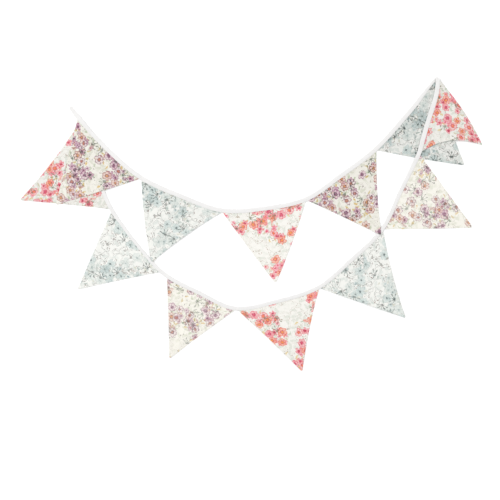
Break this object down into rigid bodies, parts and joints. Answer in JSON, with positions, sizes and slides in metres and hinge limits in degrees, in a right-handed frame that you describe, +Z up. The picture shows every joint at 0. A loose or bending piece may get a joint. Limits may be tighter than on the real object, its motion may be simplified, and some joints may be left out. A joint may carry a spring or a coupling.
{
  "type": "fabric bunting",
  "caption": "String of printed cotton triangle pennants sewn into a folded white binding tape, laid flat in two runs; hung as a party or room decoration.",
  "frame": {"origin": "centre of the whole layout's bounding box, at the level of the surface that the cloth lies on", "axes": "+X along the longest extent, from the side with the loose tape end to the side where the string doubles back; +Y toward the tape's ends; +Z up, away from the surface"},
  "size_m": [1.0054, 0.6416, 0.0088],
  "materials": {
    "print_purple": "matt printed cotton, ivory ground with purple and lavender blossoms",
    "print_blue": "matt printed cotton, ivory ground with pale blue and grey blossoms",
    "print_coral": "matt printed cotton, ivory ground with coral and pink blossoms",
    "tape_white": "matt white woven cotton binding tape, folded and topstitched"
  },
  "bodies": {
    "root": {"pennant_01": "print_purple", "pennant_02": "print_blue", "pennant_03": "print_coral", "pennant_04": "print_purple", "pennant_05": "print_blue", "pennant_06": "print_coral", "pennant_07": "print_purple", "pennant_08": "print_blue", "pennant_09": "print_coral", "pennant_10": "print_purple", "pennant_11": "print_blue", "pennant_12": "print_coral", "tape": "tape_white"}
  },
  "joints": []
}
